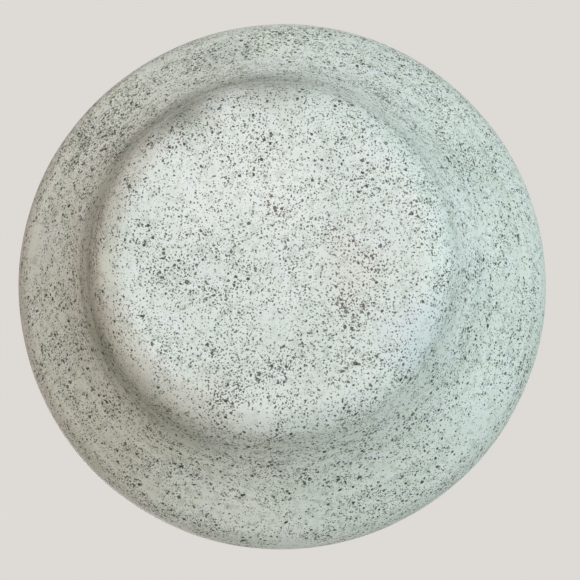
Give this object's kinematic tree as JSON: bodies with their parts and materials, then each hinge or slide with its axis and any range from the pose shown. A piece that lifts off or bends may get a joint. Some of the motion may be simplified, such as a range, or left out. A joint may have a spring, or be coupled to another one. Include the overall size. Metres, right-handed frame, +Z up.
{
  "type": "mortar and pestle",
  "caption": "Turned speckled-stone mortar with a stepped foot, round rim and spherical bowl, and a loose stone pestle leaning in it, for crushing and grinding.",
  "frame": {"origin": "centre of the foot's flat face, on the surface that the mortar stands on", "axes": "+Z up along the mortar's turning axis; the pestle's handle leans towards -X and -Y"},
  "size_m": [0.165, 0.165, 0.1287],
  "materials": {
    "mortar_stone": "honed matt, pale green with fine dark speckles",
    "pestle_stone": "honed matt, pale green with fine dark speckles, worn pale at the grinding head"
  },
  "bodies": {
    "mortar": {"mortar": "mortar_stone"},
    "pestle": {"pestle": "pestle_stone"}
  },
  "joints": [
    {"name": "pestle_lift", "type": "slide", "parent": "mortar", "child": "pestle", "axis": [0, 0, 1], "range_m": [0, 0.12]}
  ]
}
